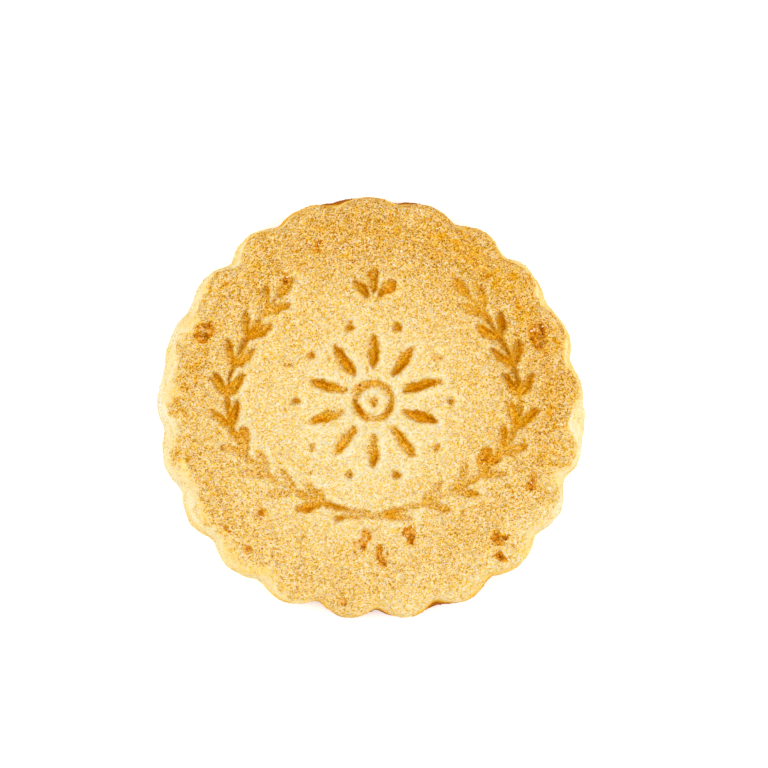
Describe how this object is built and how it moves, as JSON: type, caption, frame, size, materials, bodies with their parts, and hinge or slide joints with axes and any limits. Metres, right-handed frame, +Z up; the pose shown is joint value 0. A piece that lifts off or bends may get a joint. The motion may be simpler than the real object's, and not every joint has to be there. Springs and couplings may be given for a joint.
{
  "type": "shortbread biscuit",
  "caption": "Round golden shortbread biscuit with a fluted edge, a flat underside to rest on and a pressed wheat wreath and flower on its sandy face.",
  "frame": {"origin": "middle of the flat underside, on the surface that the biscuit rests on", "axes": "+Z up out of the pressed face, through the thickness; +Y towards the top of the pressed ornament; +X to its right"},
  "size_m": [0.061, 0.0602, 0.008],
  "materials": {
    "shortbread": "matte"
  },
  "bodies": {
    "root": {"biscuit": "shortbread"}
  },
  "joints": []
}
